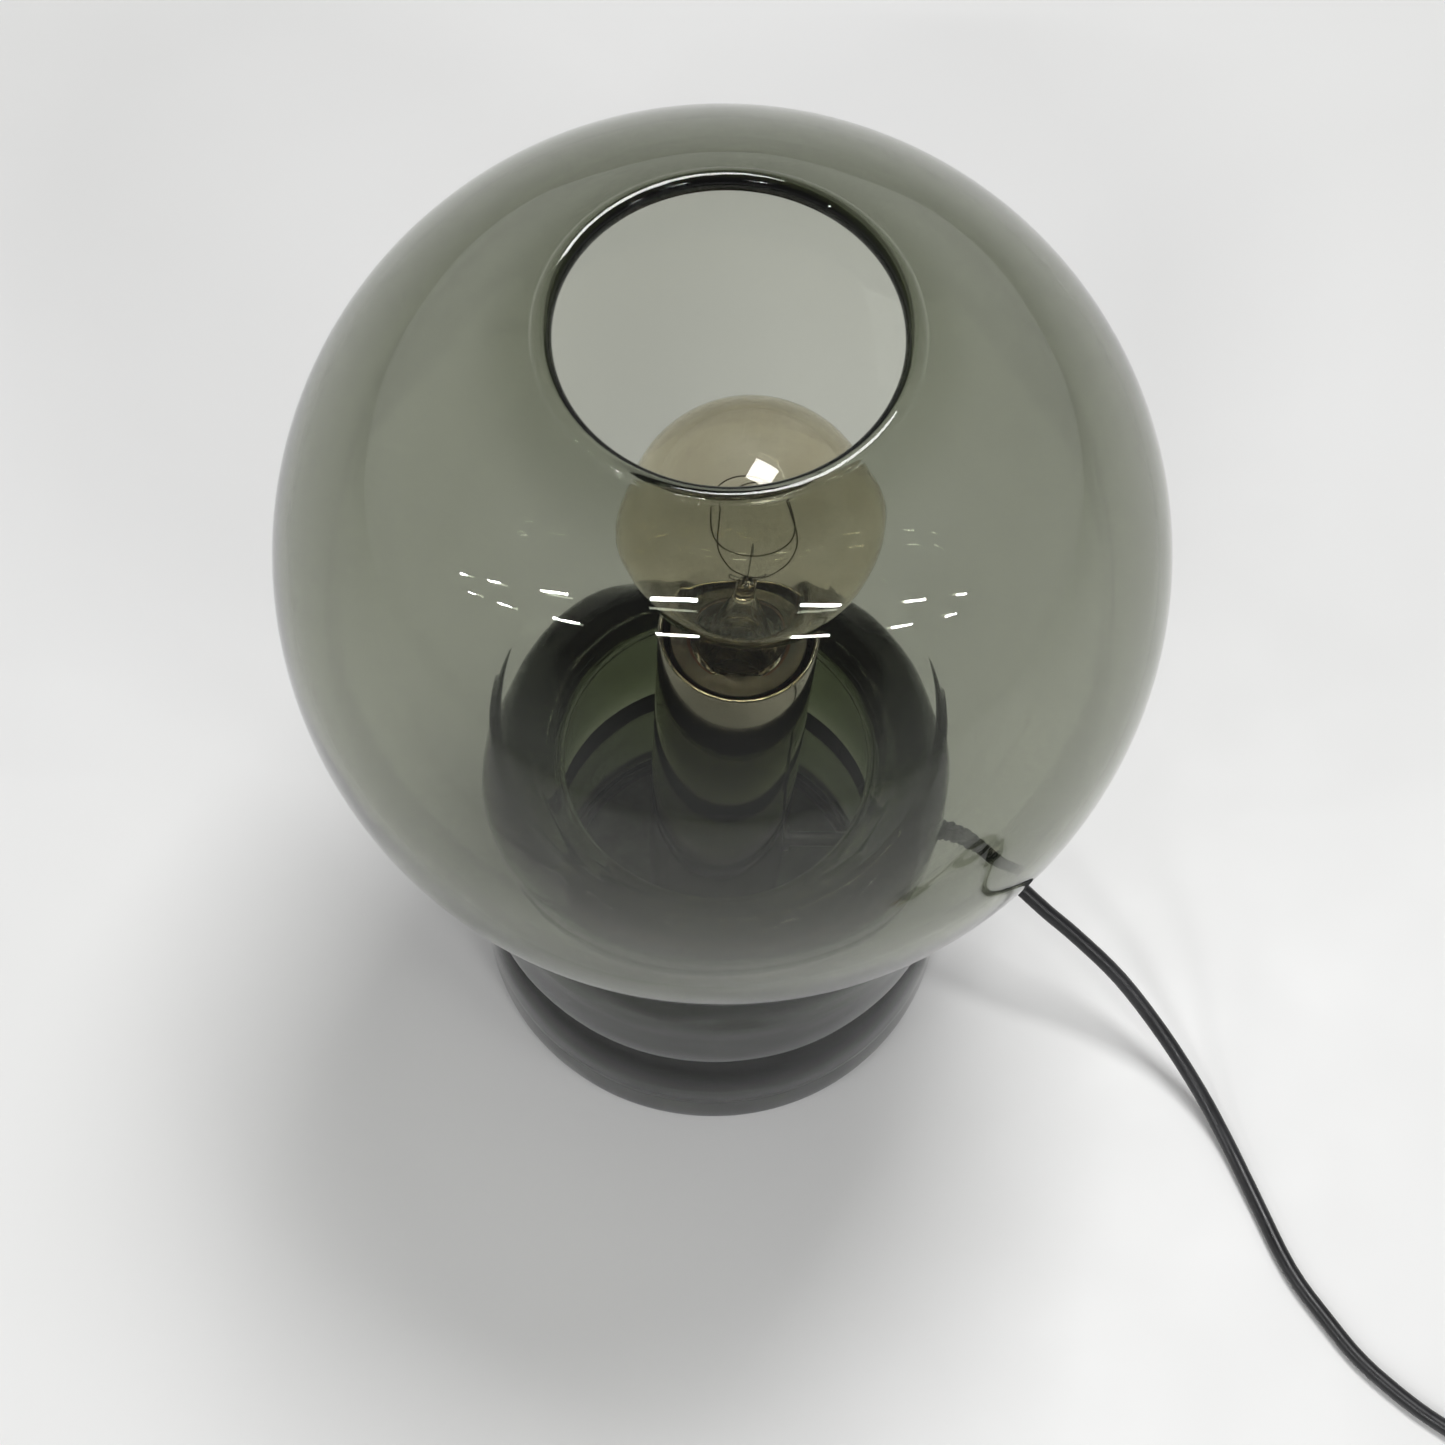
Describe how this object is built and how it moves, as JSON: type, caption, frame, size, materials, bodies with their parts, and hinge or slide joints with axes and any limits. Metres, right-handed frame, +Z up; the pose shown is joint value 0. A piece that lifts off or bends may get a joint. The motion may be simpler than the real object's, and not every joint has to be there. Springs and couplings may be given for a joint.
{
  "type": "table lamp",
  "caption": "Smoked-glass table lamp: an open glass globe on a thick two-tier glass ring, a bulb on a chromed tube inside, and a black cord with rocker switch and plug.",
  "frame": {"origin": "middle of the footprint, on the surface the lamp stands on", "axes": "+Z up along the glass; +X towards the side where the cord leaves the base"},
  "size_m": [0.5512, 0.5015, 0.4135],
  "materials": {
    "smoked_glass": "clear smoked grey-green, polished",
    "bulb_glass": "thin clear glass, yellowed and sooty",
    "black_cap_glass": "black fused glass",
    "chrome": "mirror polished, a little warm",
    "steel": "satin",
    "dull_steel": "dull grey, matt",
    "painted_plate": "matt grey-olive paint",
    "nickel": "nickel plated, worn",
    "brass": "satin",
    "tin_solder": "dull solder",
    "carbon_filament": "dark baked fibre",
    "bakelite": "brown-red moulded",
    "porcelain": "white glaze",
    "rubber": "black, matt",
    "felt": "dark green felt",
    "cord_black": "black, slight grey sheen",
    "gloss_black": "moulded, glossy",
    "rocker_cream": "moulded, glossy",
    "core_brown": "insulation",
    "core_blue": "insulation"
  },
  "bodies": {
    "lamp": {"centre_contact": "brass", "chrome_tube": "chrome", "cord_boot": "rubber", "cord_coil": "cord_black", "cord_inner": "cord_black", "cord_tie": "rubber", "cord_to_coil": "cord_black", "cord_to_plug": "cord_black", "cord_to_switch": "cord_black", "core_live": "core_brown", "core_neutral": "core_blue", "edge_gasket": "rubber", "felt_pad": "felt", "foot_boss": "steel", "foot_washer": "rubber", "glass_base": "smoked_glass", "holder_body": "bakelite", "holder_cap": "bakelite", "holder_insert": "porcelain", "holder_nipple": "brass", "holder_plate": "steel", "lower_nut": "steel", "mounting_plate": "painted_plate", "plate_screw_1": "steel", "plate_screw_2": "steel", "plate_screw_3": "steel", "plug_body": "gloss_black", "plug_pin_left": "brass", "plug_pin_right": "brass", "plug_sleeve": "rubber", "rocker_pin": "steel", "screw_shell": "nickel", "side_contact": "brass", "switch_lower_shell": "gloss_black", "switch_screw_1": "steel", "switch_screw_2": "steel", "switch_upper_shell": "gloss_black", "terminal_screw_live": "brass", "terminal_screw_neutral": "brass", "trim_ring": "dull_steel", "tube_grommet": "rubber", "upper_nut": "steel"},
    "globe": {"glass_globe": "smoked_glass"},
    "bulb": {"bulb_glass": "bulb_glass", "bulb_stem": "bulb_glass", "filament": "carbon_filament", "lead_wire_left": "steel", "lead_wire_right": "steel", "filament_anchor": "steel", "bulb_cap": "nickel", "bulb_cap_insulator": "black_cap_glass", "bulb_centre_contact": "tin_solder"},
    "rocker": {"switch_rocker": "rocker_cream"}
  },
  "joints": [
    {"name": "globe_lift", "type": "slide", "parent": "lamp", "child": "globe", "axis": [0, 0, 1], "range_m": [0, 0.215]},
    {"name": "bulb_turn", "type": "hinge", "parent": "lamp", "child": "bulb", "pos_m": [0.00576, 0, 0.21993], "axis": [0.0262, 0, 0.9997], "range_deg": [0, 1080]},
    {"name": "rocker_tip", "type": "hinge", "parent": "lamp", "child": "rocker", "pos_m": [0.338, -0.237, 0.0172], "axis": [-0.5388, -0.8425, 0], "range_deg": [-14, 0]}
  ]
}
